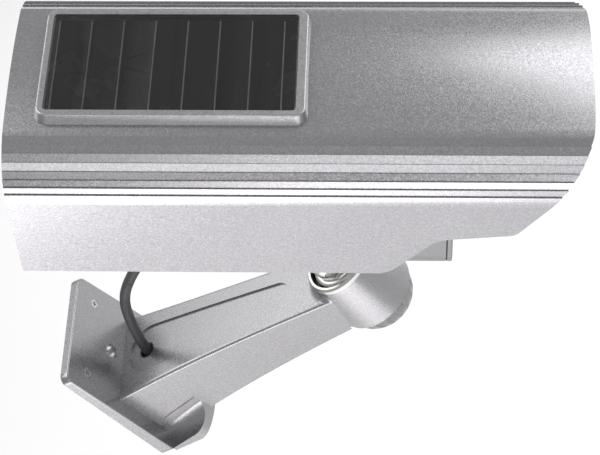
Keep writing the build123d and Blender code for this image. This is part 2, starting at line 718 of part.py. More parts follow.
def clamp_knob():
    """Fluted knob with a rounded skirt and a steel insert bore."""
    top = knob_top()
    foot = top - KNOB_HEIGHT
    bulge = (HUB_X + (KNOB_TOP_R + KNOB_FOOT_R) / 2 + KNOB_BULGE, (top + foot) / 2)
    rim = ThreePointArc((HUB_X + KNOB_TOP_R, top), bulge, (HUB_X + KNOB_FOOT_R, foot))
    rest = Line((HUB_X + KNOB_FOOT_R, foot), (HUB_X, foot)) + Line((HUB_X, foot), (HUB_X, top))
    outline = make_face(rim + rest + Line((HUB_X, top), (HUB_X + KNOB_TOP_R, top)))
    body = revolve(Plane.XZ * outline, Axis((HUB_X, 0, 0), (0, 0, 1)))
    lean = degrees(atan2(KNOB_TOP_R - KNOB_FOOT_R, KNOB_HEIGHT))
    middle = (KNOB_TOP_R + KNOB_FOOT_R) / 2 + KNOB_FLUTE_OUT
    groove = Cylinder(KNOB_FLUTE_R, KNOB_HEIGHT * 3)
    for step in range(KNOB_FLUTES):
        flute = Pos(middle, 0, (top + foot) / 2) * Rot(0, lean, 0) * groove
        body -= Pos(HUB_X, 0, 0) * Rot(0, 0, step * 360 / KNOB_FLUTES) * flute
    body -= rod_z(KNOB_HOLLOW_R, -FAR, foot + KNOB_HOLLOW_DEPTH, HUB_X)
    return body - rod_z(CLAMP_SCREW_R, -FAR, FAR, HUB_X)


def clamp_screw():
    """Steel stud moulded into the knob, threaded into the yoke."""
    foot = knob_top() - KNOB_HEIGHT
    shank = rod_z(CLAMP_SCREW_R, foot + 0.4, CLAMP_SCREW_TOP, HUB_X)
    return chamfer(shank.edges().group_by(Axis.Z)[-1], 0.8)


# ---------------------------------------------------------------- stem and camera foot
def foot_boss_z():
    """Height of the lower end of the camera foot's boss, in the camera frame."""
    return HOUSING_BOTTOM - FOOT_PAD_THICK - FOOT_BOSS_HEIGHT


def stem():
    """Eye on the tilt pin and a round shank up into the camera's foot."""
    body = rod_y(STEM_EYE_R, -STEM_EYE_WIDTH / 2, STEM_EYE_WIDTH / 2)
    body += rod_z(STEM_THREAD_R, 0, PIVOT_DROP + HOUSING_BOTTOM - 3 * SEAT_GAP)
    body += cone_z(STEM_THREAD_R, STEM_COLLAR_R, STEM_COLLAR_START, STEM_COLLAR_FULL)
    body += rod_z(STEM_COLLAR_R, STEM_COLLAR_FULL, PIVOT_DROP + foot_boss_z() - LOCK_NUT_HEIGHT)
    body -= rod_y(TILT_PIN_R + RUNNING_GAP, -FAR, FAR)
    return placed(Pos(PIVOT_FORWARD, 0, -PIVOT_DROP) * body)


def lock_nut():
    nut = extrude(RegularPolygon(LOCK_NUT_R, 6), LOCK_NUT_HEIGHT)
    body = Pos(PIVOT_FORWARD, 0, foot_boss_z() - LOCK_NUT_HEIGHT) * nut
    return placed(body - rod_z(STEM_THREAD_R, -FAR, 0, PIVOT_FORWARD))


def foot_screw_places():
    half_x, half_y = FOOT_PAD_LENGTH / 2 - FOOT_SCREW_INSET_X, FOOT_PAD_HALF_WIDTH - FOOT_SCREW_INSET_Y
    return [(PIVOT_FORWARD + x, y) for x in (-half_x, half_x) for y in (-half_y, half_y)]


def camera_foot():
    """Cast pad under the housing with a boss for the stem."""
    top = HOUSING_BOTTOM
    low = top - FOOT_PAD_THICK
    half = FOOT_PAD_LENGTH / 2
    x_range = (PIVOT_FORWARD - half, PIVOT_FORWARD + half)
    body = block(x_range, (-FOOT_PAD_HALF_WIDTH, FOOT_PAD_HALF_WIDTH), (low, top))
    body = fillet(body.edges().filter_by(Axis.Z), FOOT_CORNER)
    body = fillet(body.faces().sort_by(Axis.Z)[0].edges(), FOOT_EDGE_R)
    body += cone_z(FOOT_BOSS_R - FOOT_BOSS_TAPER, FOOT_BOSS_R, foot_boss_z(), low, PIVOT_FORWARD)
    for x, y in foot_screw_places():
        body -= rod_z(FOOT_SCREW.shank_r + SCREW_CLEAR, -FAR, FAR, x, y)
    return placed(body - rod_z(STEM_THREAD_R, -FAR, FAR, PIVOT_FORWARD))


def foot_screws():
    low = HOUSING_BOTTOM - FOOT_PAD_THICK
    return [placed(pan_screw_z(x, y, low, 1, FOOT_SCREW)) for x, y in foot_screw_places()]


# ---------------------------------------------------------------- sun shield
def shield_corner():
    """Centre of the shoulder arc, and the angle where the crown arc meets it."""
    reach = (SHIELD_HALF_WIDTH - SHIELD_SHOULDER_R) / (SHIELD_CROWN_R - SHIELD_SHOULDER_R)
    meet = asin(reach)
    y = (SHIELD_CROWN_R - SHIELD_SHOULDER_R) * sin(meet)
    z = -SHIELD_CROWN_R + (SHIELD_CROWN_R - SHIELD_SHOULDER_R) * cos(meet)
    return y, z, meet


def shoulder_point(angle, depth):
    """Point on the shoulder at an angle from straight up, at a depth below the skin."""
    y, z, _ = shield_corner()
    radius = SHIELD_SHOULDER_R - depth
    return y + radius * sin(angle), z + radius * cos(angle)


def shield_section(depth):
    """Closed section of the shield's skin, taken at a depth below the outside."""
    _, _, meet = shield_corner()
    end = radians(90 + SHIELD_DRAFT)
    start_point = shoulder_point(meet, depth)
    end_point = shoulder_point(end, depth)
    fall = end_point[1] + SHIELD_HEIGHT
    low_point = (end_point[0] - fall * tan(radians(SHIELD_DRAFT)), -SHIELD_HEIGHT)
    shoulder = ThreePointArc(start_point, shoulder_point((meet + end) / 2, depth), end_point)
    side = shoulder + Line(end_point, low_point)
    other = mirror(side, Plane.YZ)
    crown = ThreePointArc((-start_point[0], start_point[1]), (0, -depth), start_point)
    floor = Line(low_point, (-low_point[0], low_point[1]))
    return make_face(side + other + crown + floor)


def rib_notches():
    """Wedges that leave lapped ribs along the shoulder."""
    notches = []
    for step in range(RIB_COUNT):
        start = radians(RIB_FIRST_ANGLE - RIB_PITCH_ANGLE + step * RIB_PITCH_ANGLE)
        end = start + radians(RIB_PITCH_ANGLE)
        corners = [shoulder_point(start, 0), shoulder_point(start, -2)]
        corners += [shoulder_point(end, -2), shoulder_point(end, RIB_DEPTH)]
        notches.append(polygon(*corners))
    return notches


def shield_side_view():
    """Side view of the shield: ogee up to the visor and a slanted front edge."""
    low = -SHIELD_HEIGHT
    visor_low = -VISOR_HEIGHT
    corners = [
        (0, low),
        (SHIELD_LOWER_FRONT, low),
        (SHIELD_LOWER_FRONT + 24, visor_low - 4.6),
        (VISOR_FRONT, visor_low),
        (VISOR_FRONT + 24.5, visor_low + 37),
        (SHIELD_LENGTH - 0.5, -1.5),
        (SHIELD_LENGTH, 8),
    ]
    front = FilletPolyline(*corners, radius=[12, 15, 6, 60, 6])
    back = Polyline((SHIELD_LENGTH, 8), (0, 8), (0, low))
    return make_face(front + back)


def spacer_places():
    return [(x, y) for x in SPACER_X for y in (-SPACER_Y, SPACER_Y)]


def sun_shield():
    skin = shield_section(0)
    for notch in rib_notches():
        skin -= notch
        skin -= mirror(notch, Plane.YZ)
    body = prism_x(skin, 0, SHIELD_LENGTH) - prism_x(shield_section(SHIELD_WALL), -PAST, FAR)
    y_range = (-SHIELD_OPEN_HALF_WIDTH, SHIELD_OPEN_HALF_WIDTH)
    body -= block((-FAR, FAR), y_range, (-FAR, HOUSING_BOTTOM + HOUSING_LOW_R))
    body &= prism_y(shield_side_view(), FAR)
    for x, y in spacer_places():
        body -= rod_z(SHIELD_SCREW.shank_r + SCREW_CLEAR, HOUSING_TOP, FAR, x, y)
    return placed(body - rod_z(LEAD_HOLE_R, HOUSING_TOP, FAR, LEAD_X))


# ---------------------------------------------------------------- solar panel
def solar_range(border_rear, border_front, border_side):
    """Plan range of the panel, grown by a border on each side."""
    x_range = (SOLAR_REAR - border_rear, SOLAR_REAR + SOLAR_LENGTH + border_front)
    half = SOLAR_WIDTH / 2 + border_side
    return x_range, (-half, half)


def rounded_slab(x_range, y_range, z_range, radius):
    body = block(x_range, y_range, z_range)
    return fillet(body.edges().filter_by(Axis.Z), radius)


def frame_body():
    """Frame blank with drafted sides, rounded corners and a softened top."""
    x_range, y_range = solar_range(FRAME_BORDER_REAR, FRAME_BORDER_FRONT, FRAME_BORDER_SIDE)
    centre = (x_range[0] + x_range[1]) / 2
    length, width = x_range[1] - x_range[0], y_range[1] - y_range[0]
    tall = 8.0
    top = Pos(centre, 0, FRAME_LIP_TOP) * RectangleRounded(length, width, FRAME_CORNER)
    grow = 2 * FRAME_DRAFT
    wide = RectangleRounded(length + grow, width + grow, FRAME_CORNER + FRAME_DRAFT / 3)
    low = Pos(centre, 0, FRAME_LIP_TOP - tall) * wide
    body = loft([low.face(), top.face()])
    return fillet(body.faces().sort_by(Axis.Z)[-1].edges(), FRAME_EDGE_R)


def solar_frame():
    """Moulded frame that stands on the shield's crown and holds the panel."""
    body = frame_body() - prism_x(shield_section(0), -PAST, SHIELD_LENGTH)
    x_range, y_range = solar_range(0, 0, 0)
    body -= rounded_slab(x_range, y_range, (0, FAR), PANEL_CORNER + SEAT_GAP)
    x_range, y_range = solar_range(-FRAME_LEDGE, -FRAME_LEDGE, -FRAME_LEDGE)
    return placed(body - block(x_range, y_range, (-FAR, FAR)))


def solar_board():
    """Panel board that lies in the frame on a foam seal."""
    x_range, y_range = solar_range(-SEAT_GAP, -SEAT_GAP, -SEAT_GAP)
    top = SOLAR_TOP - SOLAR_COVER_THICK - SOLAR_CELL_THICK
    body = rounded_slab(x_range, y_range, (top - SOLAR_BOARD_THICK, top), PANEL_CORNER)
    return placed(body - rod_z(LEAD_R + SEAT_GAP, -FAR, FAR, LEAD_X))


def solar_cells():
    """Dark strips side by side, with a narrow border strip along the rear and the left."""
    rear = SOLAR_REAR + SOLAR_EDGE_GAP
    front = SOLAR_REAR + SOLAR_LENGTH - SOLAR_EDGE_GAP
    lines = [SOLAR_REAR + SOLAR_BORDER + step * SOLAR_CELL_PITCH for step in range(SOLAR_CELLS + 1)]
    edges = [rear, *lines, front]
    gap = SOLAR_CELL_GAP / 2
    half = SOLAR_WIDTH / 2 - SOLAR_EDGE_GAP
    border = SOLAR_WIDTH / 2 - SOLAR_BORDER
    top = SOLAR_TOP - SOLAR_COVER_THICK
    z_range = (top - SOLAR_CELL_THICK, top)
    strips = [block((a + gap, b - gap), (-half, border - gap), z_range) for a, b in zip(edges, edges[1:])]
    strips.append(block((rear + gap, front - gap), (border, half), z_range))
    return [placed(strip) for strip in strips]


def solar_cover():
    x_range, y_range = solar_range(-SEAT_GAP, -SEAT_GAP, -SEAT_GAP)
    z_range = (SOLAR_TOP - SOLAR_COVER_THICK, SOLAR_TOP)
    return placed(rounded_slab(x_range, y_range, z_range, PANEL_CORNER))


def solar_lead():
    """Short two-core lead from the panel down into the housing."""
    top = SOLAR_TOP - SOLAR_COVER_THICK - SOLAR_CELL_THICK
    return placed(rod_z(LEAD_R, 2 * HOUSING_TOP, top, LEAD_X))


def lead_bush():
    """Rubber bush that seals the solar lead into the housing's roof."""
    body = rod_z(BUSH_R, HOUSING_TOP - HOUSING_WALL, HOUSING_TOP, LEAD_X)
    body += rod_z(BUSH_FLANGE_R, HOUSING_TOP, HOUSING_TOP + BUSH_FLANGE_THICK, LEAD_X)
    return placed(body - rod_z(LEAD_R, -FAR, FAR, LEAD_X))


def shield_spacers():
    """Four turned posts between the housing's roof and the shield's crown."""
    room = prism_x(shield_section(SHIELD_WALL), 0, SHIELD_LENGTH)
    posts = []
    for x, y in spacer_places():
        post = rod_z(SPACER_R, HOUSING_TOP, 0, x, y) & room
        posts.append(placed(post - rod_z(SHIELD_SCREW.shank_r, -FAR, FAR, x, y)))
    return posts


def shield_screws():
    """Screws from inside the housing up through the spacers into the shield."""
    under = HOUSING_TOP - HOUSING_WALL
    return [placed(pan_screw_z(x, y, under, 1, SHIELD_SCREW)) for x, y in spacer_places()]


# ---------------------------------------------------------------- housing
def housing_section(inset):
    """Rounded section of the housing, drawn in by an inset."""
    side = HOUSING_HALF_WIDTH - inset
    top, low = HOUSING_TOP - inset, HOUSING_BOTTOM + inset
    high_r, low_r = HOUSING_TOP_R - inset, HOUSING_LOW_R - inset
    corners = [(-side, low), (side, low), (side, top), (-side, top)]
    return make_face(FilletPolyline(*corners, radius=[low_r, low_r, high_r, high_r], close=True))


def boss_places():
    return [(side * y, z) for y, z in (HIGH_BOSS, LOW_BOSS) for side in (-1, 1)]


def camera_housing():
    """Extruded aluminium body, open at both ends, with screw bosses."""
    start = HOUSING_REAR + GASKET_THICK
    end = HOUSING_FRONT - GASKET_THICK
    outer = prism_x(housing_section(0), start, end)
    body = outer - prism_x(housing_section(HOUSING_WALL), start - PAST, end + PAST)
    for y, z in boss_places():
        for low, high in ((start, start + BOSS_LENGTH), (end - BOSS_LENGTH, end)):
            body += rod_x(BOSS_R, low, high, y, z) & outer
            body -= rod_x(END_SCREW.shank_r, low - PAST, high + PAST, y, z)
    inside = (HOUSING_TOP + HOUSING_BOTTOM) / 2
    body -= rod_z(GLAND_THREAD_R + SEAT_GAP, -FAR, inside, GLAND_X)
    for x, y in foot_screw_places():
        body -= rod_z(FOOT_SCREW.shank_r, -FAR, inside, x, y)
    for x, y in spacer_places():
        body -= rod_z(SHIELD_SCREW.shank_r + SCREW_CLEAR, inside, FAR, x, y)
    return placed(body - rod_z(BUSH_R, inside, FAR, LEAD_X))


def spigot(start, end):
    """Locating rim that slides into the end of the housing."""
    outer = housing_section(HOUSING_WALL + SPIGOT_GAP)
    inner = housing_section(HOUSING_WALL + SPIGOT_GAP + SPIGOT_WALL)
    body = prism_x(outer, start, end) - prism_x(inner, start - PAST, end + PAST)
    for y, z in boss_places():
        body -= rod_x(BOSS_R + 2 * SPIGOT_GAP, start - PAST, end + PAST, y, z)
    return body


def seal_ring(start, end):
    """Flat gasket that follows the housing's rim."""
    body = prism_x(housing_section(2 * SPIGOT_GAP), start, end)
    body -= prism_x(housing_section(HOUSING_WALL + SEAT_GAP), start - PAST, end + PAST)
    for y, z in boss_places():
        body -= rod_x(END_SCREW.shank_r + 3 * SCREW_CLEAR, start - PAST, end + PAST, y, z)
    return body


def front_gasket():
    return placed(seal_ring(HOUSING_FRONT - GASKET_THICK, HOUSING_FRONT))


def rear_gasket():
    return placed(seal_ring(HOUSING_REAR, HOUSING_REAR + GASKET_THICK))


def front_bezel():
    """Front plate with a round window opening and a cup behind it."""
    end = HOUSING_FRONT + BEZEL_THICK
    body = prism_x(housing_section(0), HOUSING_FRONT, end)
    body = fillet(body.faces().sort_by(Axis.X)[-1].edges(), BEZEL_EDGE_R)
    cup_r = WINDOW_R + WINDOW_CUP_WALL
    cup_start = LED_BOARD_X + LED_BOARD_THICK
    body += rod_x(cup_r, cup_start, HOUSING_FRONT, 0, OPTIC_Z)
    body -= rod_x(WINDOW_R + SEAT_GAP, cup_start - PAST, HOUSING_FRONT, 0, OPTIC_Z)
    body -= rod_x(WINDOW_OPENING_R, -FAR, FAR, 0, OPTIC_Z)
    flare = WINDOW_OPENING_FLARE
    body -= cone_x(WINDOW_OPENING_R, WINDOW_OPENING_R + flare, end - flare, end, 0, OPTIC_Z)
    body += spigot(HOUSING_FRONT - SPIGOT_LENGTH, HOUSING_FRONT)
    for y, z in boss_places():
        body -= countersunk_hole_x(end, y, z, -1, END_SCREW)
    return placed(body)


def rear_cover():
    """Rear plate with a raised centre panel round the button."""
    start = HOUSING_REAR - REAR_COVER_THICK
    body = prism_x(housing_section(0), start, HOUSING_REAR)
    body = fillet(body.faces().sort_by(Axis.X)[0].edges(), REAR_COVER_EDGE_R)
    pad = Pos(0, OPTIC_Z) * RectangleRounded(*REAR_PAD, REAR_PAD_CORNER)
    pad = prism_x(pad, start - REAR_PAD_THICK, start)
    body += fillet(pad.faces().sort_by(Axis.X)[0].edges(), REAR_PAD_THICK / 2)
    body += spigot(HOUSING_REAR, HOUSING_REAR + SPIGOT_LENGTH)
    socket_end = HOUSING_REAR + BUTTON_GUIDE
    body += rod_x(BUTTON_R + BUTTON_SOCKET_WALL, HOUSING_REAR, socket_end + HOUSING_WALL, 0, BUTTON_Z)
    body -= rod_x(BUTTON_R + RUNNING_GAP, -FAR, socket_end, 0, BUTTON_Z)
    body -= rod_x(BUTTON_SHANK_R + 2 * RUNNING_GAP, -FAR, FAR, 0, BUTTON_Z)
    for y, z in boss_places():
        body -= countersunk_hole_x(start, y, z, 1, END_SCREW)
    return placed(body)


def end_screws():
    """Eight countersunk screws that hold the two end plates to the housing."""
    front = HOUSING_FRONT + BEZEL_THICK - HEAD_GAP
    rear = HOUSING_REAR - REAR_COVER_THICK + HEAD_GAP
    ends = ((front, -1), (rear, 1))
    return [placed(screw_x(x, y, z, way, END_SCREW)) for x, way in ends for y, z in boss_places()]


def button_seat():
    """Inner end of the button's head, with its travel left in front of the socket's floor."""
    return HOUSING_REAR + BUTTON_GUIDE - BUTTON_TRAVEL - 4 * SEAT_GAP


def power_button():
    """Round sealed push button in the rear cover, with a guide shank."""
    cover_face = HOUSING_REAR - REAR_COVER_THICK - REAR_PAD_THICK
    outer = cover_face - BUTTON_TRAVEL - BUTTON_PROUD
    seat = button_seat()
    hollow = seat - BUTTON_HOLLOW_DEPTH
    body = rod_x(BUTTON_R, outer, seat, 0, BUTTON_Z)
    body = fillet(body.faces().sort_by(Axis.X)[0].edges(), BUTTON_EDGE_R)
    body -= rod_x(BUTTON_SPRING_R + BUTTON_SPRING_ROOM, hollow, seat + PAST, 0, BUTTON_Z)
    return placed(body + rod_x(BUTTON_SHANK_R, hollow - PAST, HOUSING_REAR + 2 * BUTTON_GUIDE, 0, BUTTON_Z))


def button_spring():
    """Coil spring that returns the button, as a short sleeve round its shank."""
    start = button_seat() - BUTTON_HOLLOW_DEPTH + SEAT_GAP
    end = HOUSING_REAR + BUTTON_GUIDE - SEAT_GAP
    return placed(ring_x(BUTTON_SPRING_R, BUTTON_SPRING_BORE_R, start, end, 0, BUTTON_Z))


# ---------------------------------------------------------------- lens and lights
def window_retainer():
    end = HOUSING_FRONT - GASKET_THICK - WINDOW_THICK
    start = end - WINDOW_RETAINER_THICK
    return placed(ring_x(WINDOW_R, WINDOW_OPENING_R, start, end, 0, OPTIC_Z))


def front_window():
    start = HOUSING_FRONT - GASKET_THICK - WINDOW_THICK
    return placed(rod_x(WINDOW_R, start, start + WINDOW_THICK, 0, OPTIC_Z))


def window_gasket():
    start = HOUSING_FRONT - GASKET_THICK
    return placed(ring_x(WINDOW_R, WINDOW_OPENING_R + 2 * SEAT_GAP, start, HOUSING_FRONT, 0, OPTIC_Z))


def led_places():
    angles = [2 * pi * (step + 0.5) / LED_COUNT for step in range(LED_COUNT)]
    return [(LED_CIRCLE_R * sin(a), OPTIC_Z + LED_CIRCLE_R * cos(a)) for a in angles]


def led_board():
    """Ring board behind the window that carries the lights."""
    end = LED_BOARD_X + LED_BOARD_THICK
    return placed(ring_x(WINDOW_R + 3.0, BARREL_R + 0.5, LED_BOARD_X, end, 0, OPTIC_Z))


def light(y, z):
    """Round-nosed light on the ring board."""
    start = LED_BOARD_X + LED_BOARD_THICK
    body = rod_x(LED_R, start, start + LED_HEIGHT, y, z)
    return body + (Pos(start + LED_HEIGHT, y, z) * Sphere(LED_NOSE_R))


def infrared_lights():
    return [placed(light(y, z)) for y, z in led_places()[:-2]]


def status_light():
    y, z = led_places()[-1]
    return placed(light(y, z))


def light_sensor():
    y, z = led_places()[-2]
    start = LED_BOARD_X + LED_BOARD_THICK
    return placed(rod_x(LED_R, start, start + SENSOR_WINDOW_HEIGHT, y, z))


def lens_barrel():
    """Lens tube with focus grooves on its nose."""
    body = rod_x(BARREL_R, BARREL_REAR, BARREL_FRONT, 0, OPTIC_Z)
    body = chamfer(body.faces().sort_by(Axis.X)[-1].edges(), BARREL_EDGE)
    body -= rod_x(BARREL_BORE_R, BARREL_REAR + BARREL_SEAT, FAR, 0, OPTIC_Z)
    body -= rod_x(REAR_LENS_R, -FAR, FAR, 0, OPTIC_Z)
    for back in FOCUS_GROOVES:
        x = BARREL_FRONT - back
        body -= ring_x(BARREL_R + PAST, BARREL_R - 0.6, x, x + 1.2, 0, OPTIC_Z)
    return placed(body)


def front_lens():
    """Domed front element."""
    nose = BARREL_FRONT - FRONT_LENS_SINK
    rear = nose - FRONT_LENS_THICK
    edge = rear + FRONT_LENS_RIM
    chord = Vector(nose - edge, BARREL_BORE_R)
    dome_r = chord.length**2 / (2 * (nose - edge))
    middle = dome_r - (dome_r**2 - (BARREL_BORE_R / 2) ** 2) ** 0.5
    dome = ThreePointArc((edge, BARREL_BORE_R), (nose - middle, BARREL_BORE_R / 2), (nose, 0))
    rest = Polyline((nose, 0), (rear, 0), (rear, BARREL_BORE_R), (edge, BARREL_BORE_R))
    lens = revolve(Plane.XY * make_face(dome + rest), Axis.X)
    return placed(Pos(0, 0, OPTIC_Z) * lens)


def lens_stop():
    """Black ring between the two elements."""
    start = BARREL_REAR + BARREL_SEAT
    end = BARREL_FRONT - FRONT_LENS_SINK - FRONT_LENS_THICK
    return placed(ring_x(BARREL_BORE_R, STOP_R, start, end, 0, OPTIC_Z))


def rear_lens():
    start = BARREL_REAR + REAR_LENS_START
    return placed(rod_x(REAR_LENS_R, start, start + REAR_LENS_THICK, 0, OPTIC_Z))


def square_block(x_range, half):
    """Block with a square section, centred on the lens axis."""
    return block(x_range, (-half, half), (OPTIC_Z - half, OPTIC_Z + half))


def lens_mount():
    """Block that carries the lens tube over the image sensor."""
    x_range = (SENSOR_BOARD_X + SENSOR_BOARD_THICK, BARREL_REAR)
    body = square_block(x_range, LENS_MOUNT_HALF)
    body = fillet(body.edges().filter_by(Axis.X), LENS_MOUNT_CORNER)
    return placed(body - rod_x(FILTER_R, -FAR, FAR, 0, OPTIC_Z))


def infrared_filter():
    start = SENSOR_BOARD_X + FILTER_START
    return placed(rod_x(FILTER_R, start, start + FILTER_THICK, 0, OPTIC_Z))


def image_sensor():
    start = SENSOR_BOARD_X + SENSOR_BOARD_THICK
    return placed(square_block((start, start + SENSOR_THICK), SENSOR_HALF))


def sensor_board():
    x_range = (SENSOR_BOARD_X, SENSOR_BOARD_X + SENSOR_BOARD_THICK)
    return placed(square_block(x_range, LENS_MOUNT_HALF))


# ---------------------------------------------------------------- electronics and power
def board_post_places():
    ends = (BOARD_REAR + BOARD_INSET, BOARD_REAR + BOARD_LENGTH - BOARD_INSET)
    half = BOARD_HALF_WIDTH - BOARD_INSET
    return [(x, y) for x in ends for y in (-half, half)]


def main_board():
    x_range = (BOARD_REAR, BOARD_REAR + BOARD_LENGTH)
    y_range = (-BOARD_HALF_WIDTH, BOARD_HALF_WIDTH)
    body = block(x_range, y_range, (BOARD_Z, BOARD_Z + BOARD_THICK))
    for x, y in board_post_places():
        body -= rod_z(BOARD_SCREW.shank_r + SCREW_CLEAR, -FAR, FAR, x, y)
    return placed(body)


def board_chips():
    """Charge controller, processor, connector and two capacitors."""
    top = BOARD_Z + BOARD_THICK
    x = BOARD_REAR
    shapes = [
        block((x + 20, x + 34), (-7, 7), (top, top + CHIP_HEIGHT)),
        block((x + 42, x + 50), (-20, -12), (top, top + CHIP_HEIGHT)),
        block((x + 12, x + 16), (10, 24), (top, top + CONNECTOR_HEIGHT)),
        rod_z(CAPACITOR_R, top, top + CAPACITOR_HEIGHT, x + 45, 14),
        rod_z(CAPACITOR_R, top, top + CAPACITOR_HEIGHT, x + 14, -14),
    ]
    return [placed(shape) for shape in shapes]


def board_posts():
    floor = HOUSING_BOTTOM + HOUSING_WALL
    bore = BOARD_SCREW.shank_r
    return [placed(ring_z(BOARD_POST_R, bore, floor, BOARD_Z, x, y)) for x, y in board_post_places()]


def board_screws():
    top = BOARD_Z + BOARD_THICK
    return [placed(pan_screw_z(x, y, top, -1, BOARD_SCREW)) for x, y in board_post_places()]


def battery_places():
    middle = (BATTERY_COUNT - 1) / 2
    return [(step - middle) * BATTERY_PITCH for step in range(BATTERY_COUNT)]


def battery_tray():
    """Open tray for the cells, on two legs at its rear and a web at its front."""
    half = BATTERY_PITCH * BATTERY_COUNT / 2 + HOLDER_WALL
    end = HOLDER_REAR + BATTERY_LENGTH + 9
    top = HOLDER_FLOOR + HOLDER_HEIGHT
    body = block((HOLDER_REAR, end), (-half, half), (HOLDER_FLOOR, top))
    x_range, inner = (HOLDER_REAR + HOLDER_WALL, end - HOLDER_WALL), half - HOLDER_WALL
    body -= block(x_range, (-inner, inner), (HOLDER_FLOOR + HOLDER_WALL, FAR))
    floor = HOUSING_BOTTOM + HOUSING_WALL
    for y in (-HOLDER_LEG_Y, HOLDER_LEG_Y):
        body += rod_z(HOLDER_LEG_R, floor, HOLDER_FLOOR, HOLDER_REAR + HOLDER_WALL * 2, y)
    return placed(body)


def battery_cells():
    start = HOLDER_REAR + HOLDER_WALL * 2
    end = start + BATTERY_LENGTH
    centre = HOLDER_FLOOR + HOLDER_WALL + BATTERY_R
    cells = []
    for y in battery_places():
        cell = rod_x(BATTERY_R, start, end - CELL_TIP_LENGTH, y, centre)
        cells.append(placed(cell + rod_x(CELL_TIP_R, start, end, y, centre)))
    return cells


# ---------------------------------------------------------------- cable
def gland_body():
    """Threaded gland in the housing's floor with a hexagon flange."""
    low = HOUSING_BOTTOM - GLAND_FLANGE_HEIGHT
    body = Pos(GLAND_X, 0, low) * extrude(RegularPolygon(GLAND_HEX_R, 6), GLAND_FLANGE_HEIGHT)
    top = HOUSING_BOTTOM + HOUSING_WALL + GLAND_THREAD_LENGTH
    body += rod_z(GLAND_THREAD_R, low - GLAND_THREAD_LENGTH, top, GLAND_X)
    return placed(body - rod_z(GLAND_BORE_R, -FAR, FAR, GLAND_X))


def gland_cap():
    """Ribbed clamping cap with a rounded nose where the cable leaves."""
    top = HOUSING_BOTTOM - GLAND_FLANGE_HEIGHT
    foot = top - GLAND_CAP_HEIGHT
    nose_top = foot + GLAND_NOSE_HEIGHT
    body = rod_z(GLAND_CAP_R, nose_top, top, GLAND_X)
    body += cone_z(GLAND_NOSE_R, GLAND_CAP_R, foot, nose_top, GLAND_X)
    groove = rod_z(GLAND_GROOVE_R, foot + GLAND_GROOVE_R, FAR, GLAND_CAP_R + GLAND_GROOVE_R / 2)
    for step in range(GLAND_GROOVES):
        body -= Pos(GLAND_X, 0, 0) * Rot(0, 0, step * 360 / GLAND_GROOVES) * groove
    body -= rod_z(GLAND_THREAD_R, top - GLAND_THREAD_LENGTH, FAR, GLAND_X)
    return placed(body - rod_z(GLAND_BORE_R, -FAR, FAR, GLAND_X))


def cable_path():
    """Straight runs joined by the largest tangent arcs that each corner allows."""
    points = [Vector(*point) for point in CABLE_ROUTE]
    radii = []
    for before, corner, after in zip(points, points[1:], points[2:]):
        one, two = corner - before, after - corner
        turn = radians(one.get_angle(two))
        radii.append(0.45 * min(one.length, two.length) / tan(turn / 2))
    print("cable radii", [round(radius, 1) for radius in radii])
    return FilletPolyline(*points, radius=radii)


def cable():
    path = cable_path()
    start = Plane(origin=path @ 0, z_dir=path % 0)
    body = sweep(start * Circle(CABLE_R), path=path)
    expected = pi * CABLE_R**2 * path.length
    print("cable length", round(path.length, 1), "volume share", round(body.volume / expected, 4))
    return body


# ---------------------------------------------------------------- all sub-parts
BUILDERS = {
    "wall_plate": wall_plate,
    "backing_plate": backing_plate,
    "plate_screws": plate_screws,
    "arm_screws": arm_screws,
    "arm": arm,
    "arm_cover": arm_cover,
    "arm_cover_screws": arm_cover_screws,
    "cable_grommet": cable_grommet,
    "hub_ring": hub_ring,
    "friction_washer": friction_washer,
    "swivel_yoke": swivel_yoke,
    "tilt_pin": tilt_pin,
    "thrust_washer": thrust_washer,
    "clamp_knob": clamp_knob,
    "clamp_screw": clamp_screw,
    "stem": stem,
    "lock_nut": lock_nut,
    "camera_foot": camera_foot,
    "foot_screws": foot_screws,
    "sun_shield": sun_shield,
    "shield_spacers": shield_spacers,
    "shield_screws": shield_screws,
    "solar_frame": solar_frame,
    "solar_board": solar_board,
    "solar_cells": solar_cells,
    "solar_cover": solar_cover,
    "solar_lead": solar_lead,
    "lead_bush": lead_bush,
    "camera_housing": camera_housing,
    "front_bezel": front_bezel,
    "front_gasket": front_gasket,
    "rear_cover": rear_cover,
    "rear_gasket": rear_gasket,
    "end_screws": end_screws,
    "power_button": power_button,
    "button_spring": button_spring,
    "front_window": front_window,
    "window_gasket": window_gasket,
    "window_retainer": window_retainer,
    "led_board": led_board,
    "infrared_lights": infrared_lights,
    "status_light": status_light,
    "light_sensor": light_sensor,
    "lens_barrel": lens_barrel,
    "front_lens": front_lens,
    "lens_stop": lens_stop,
    "rear_lens": rear_lens,
    "lens_mount": lens_mount,
    "infrared_filter": infrared_filter,
    "image_sensor": image_sensor,
    "sensor_board": sensor_board,
    "main_board": main_board,
    "board_chips": board_chips,
    "board_posts": board_posts,
    "board_screws": board_screws,
    "battery_tray": battery_tray,
    "battery_cells": battery_cells,
    "gland_body": gland_body,
    "gland_cap": gland_cap,
    "cable": cable,
}

for name, builder in BUILDERS.items():
    shape = builder()
    if isinstance(shape, list):
        shape = Compound(children=shape)
    save(name, shape)
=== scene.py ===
from math import cos, pi, radians, sin

import bmesh
import bpy
from mathutils import Matrix, Vector


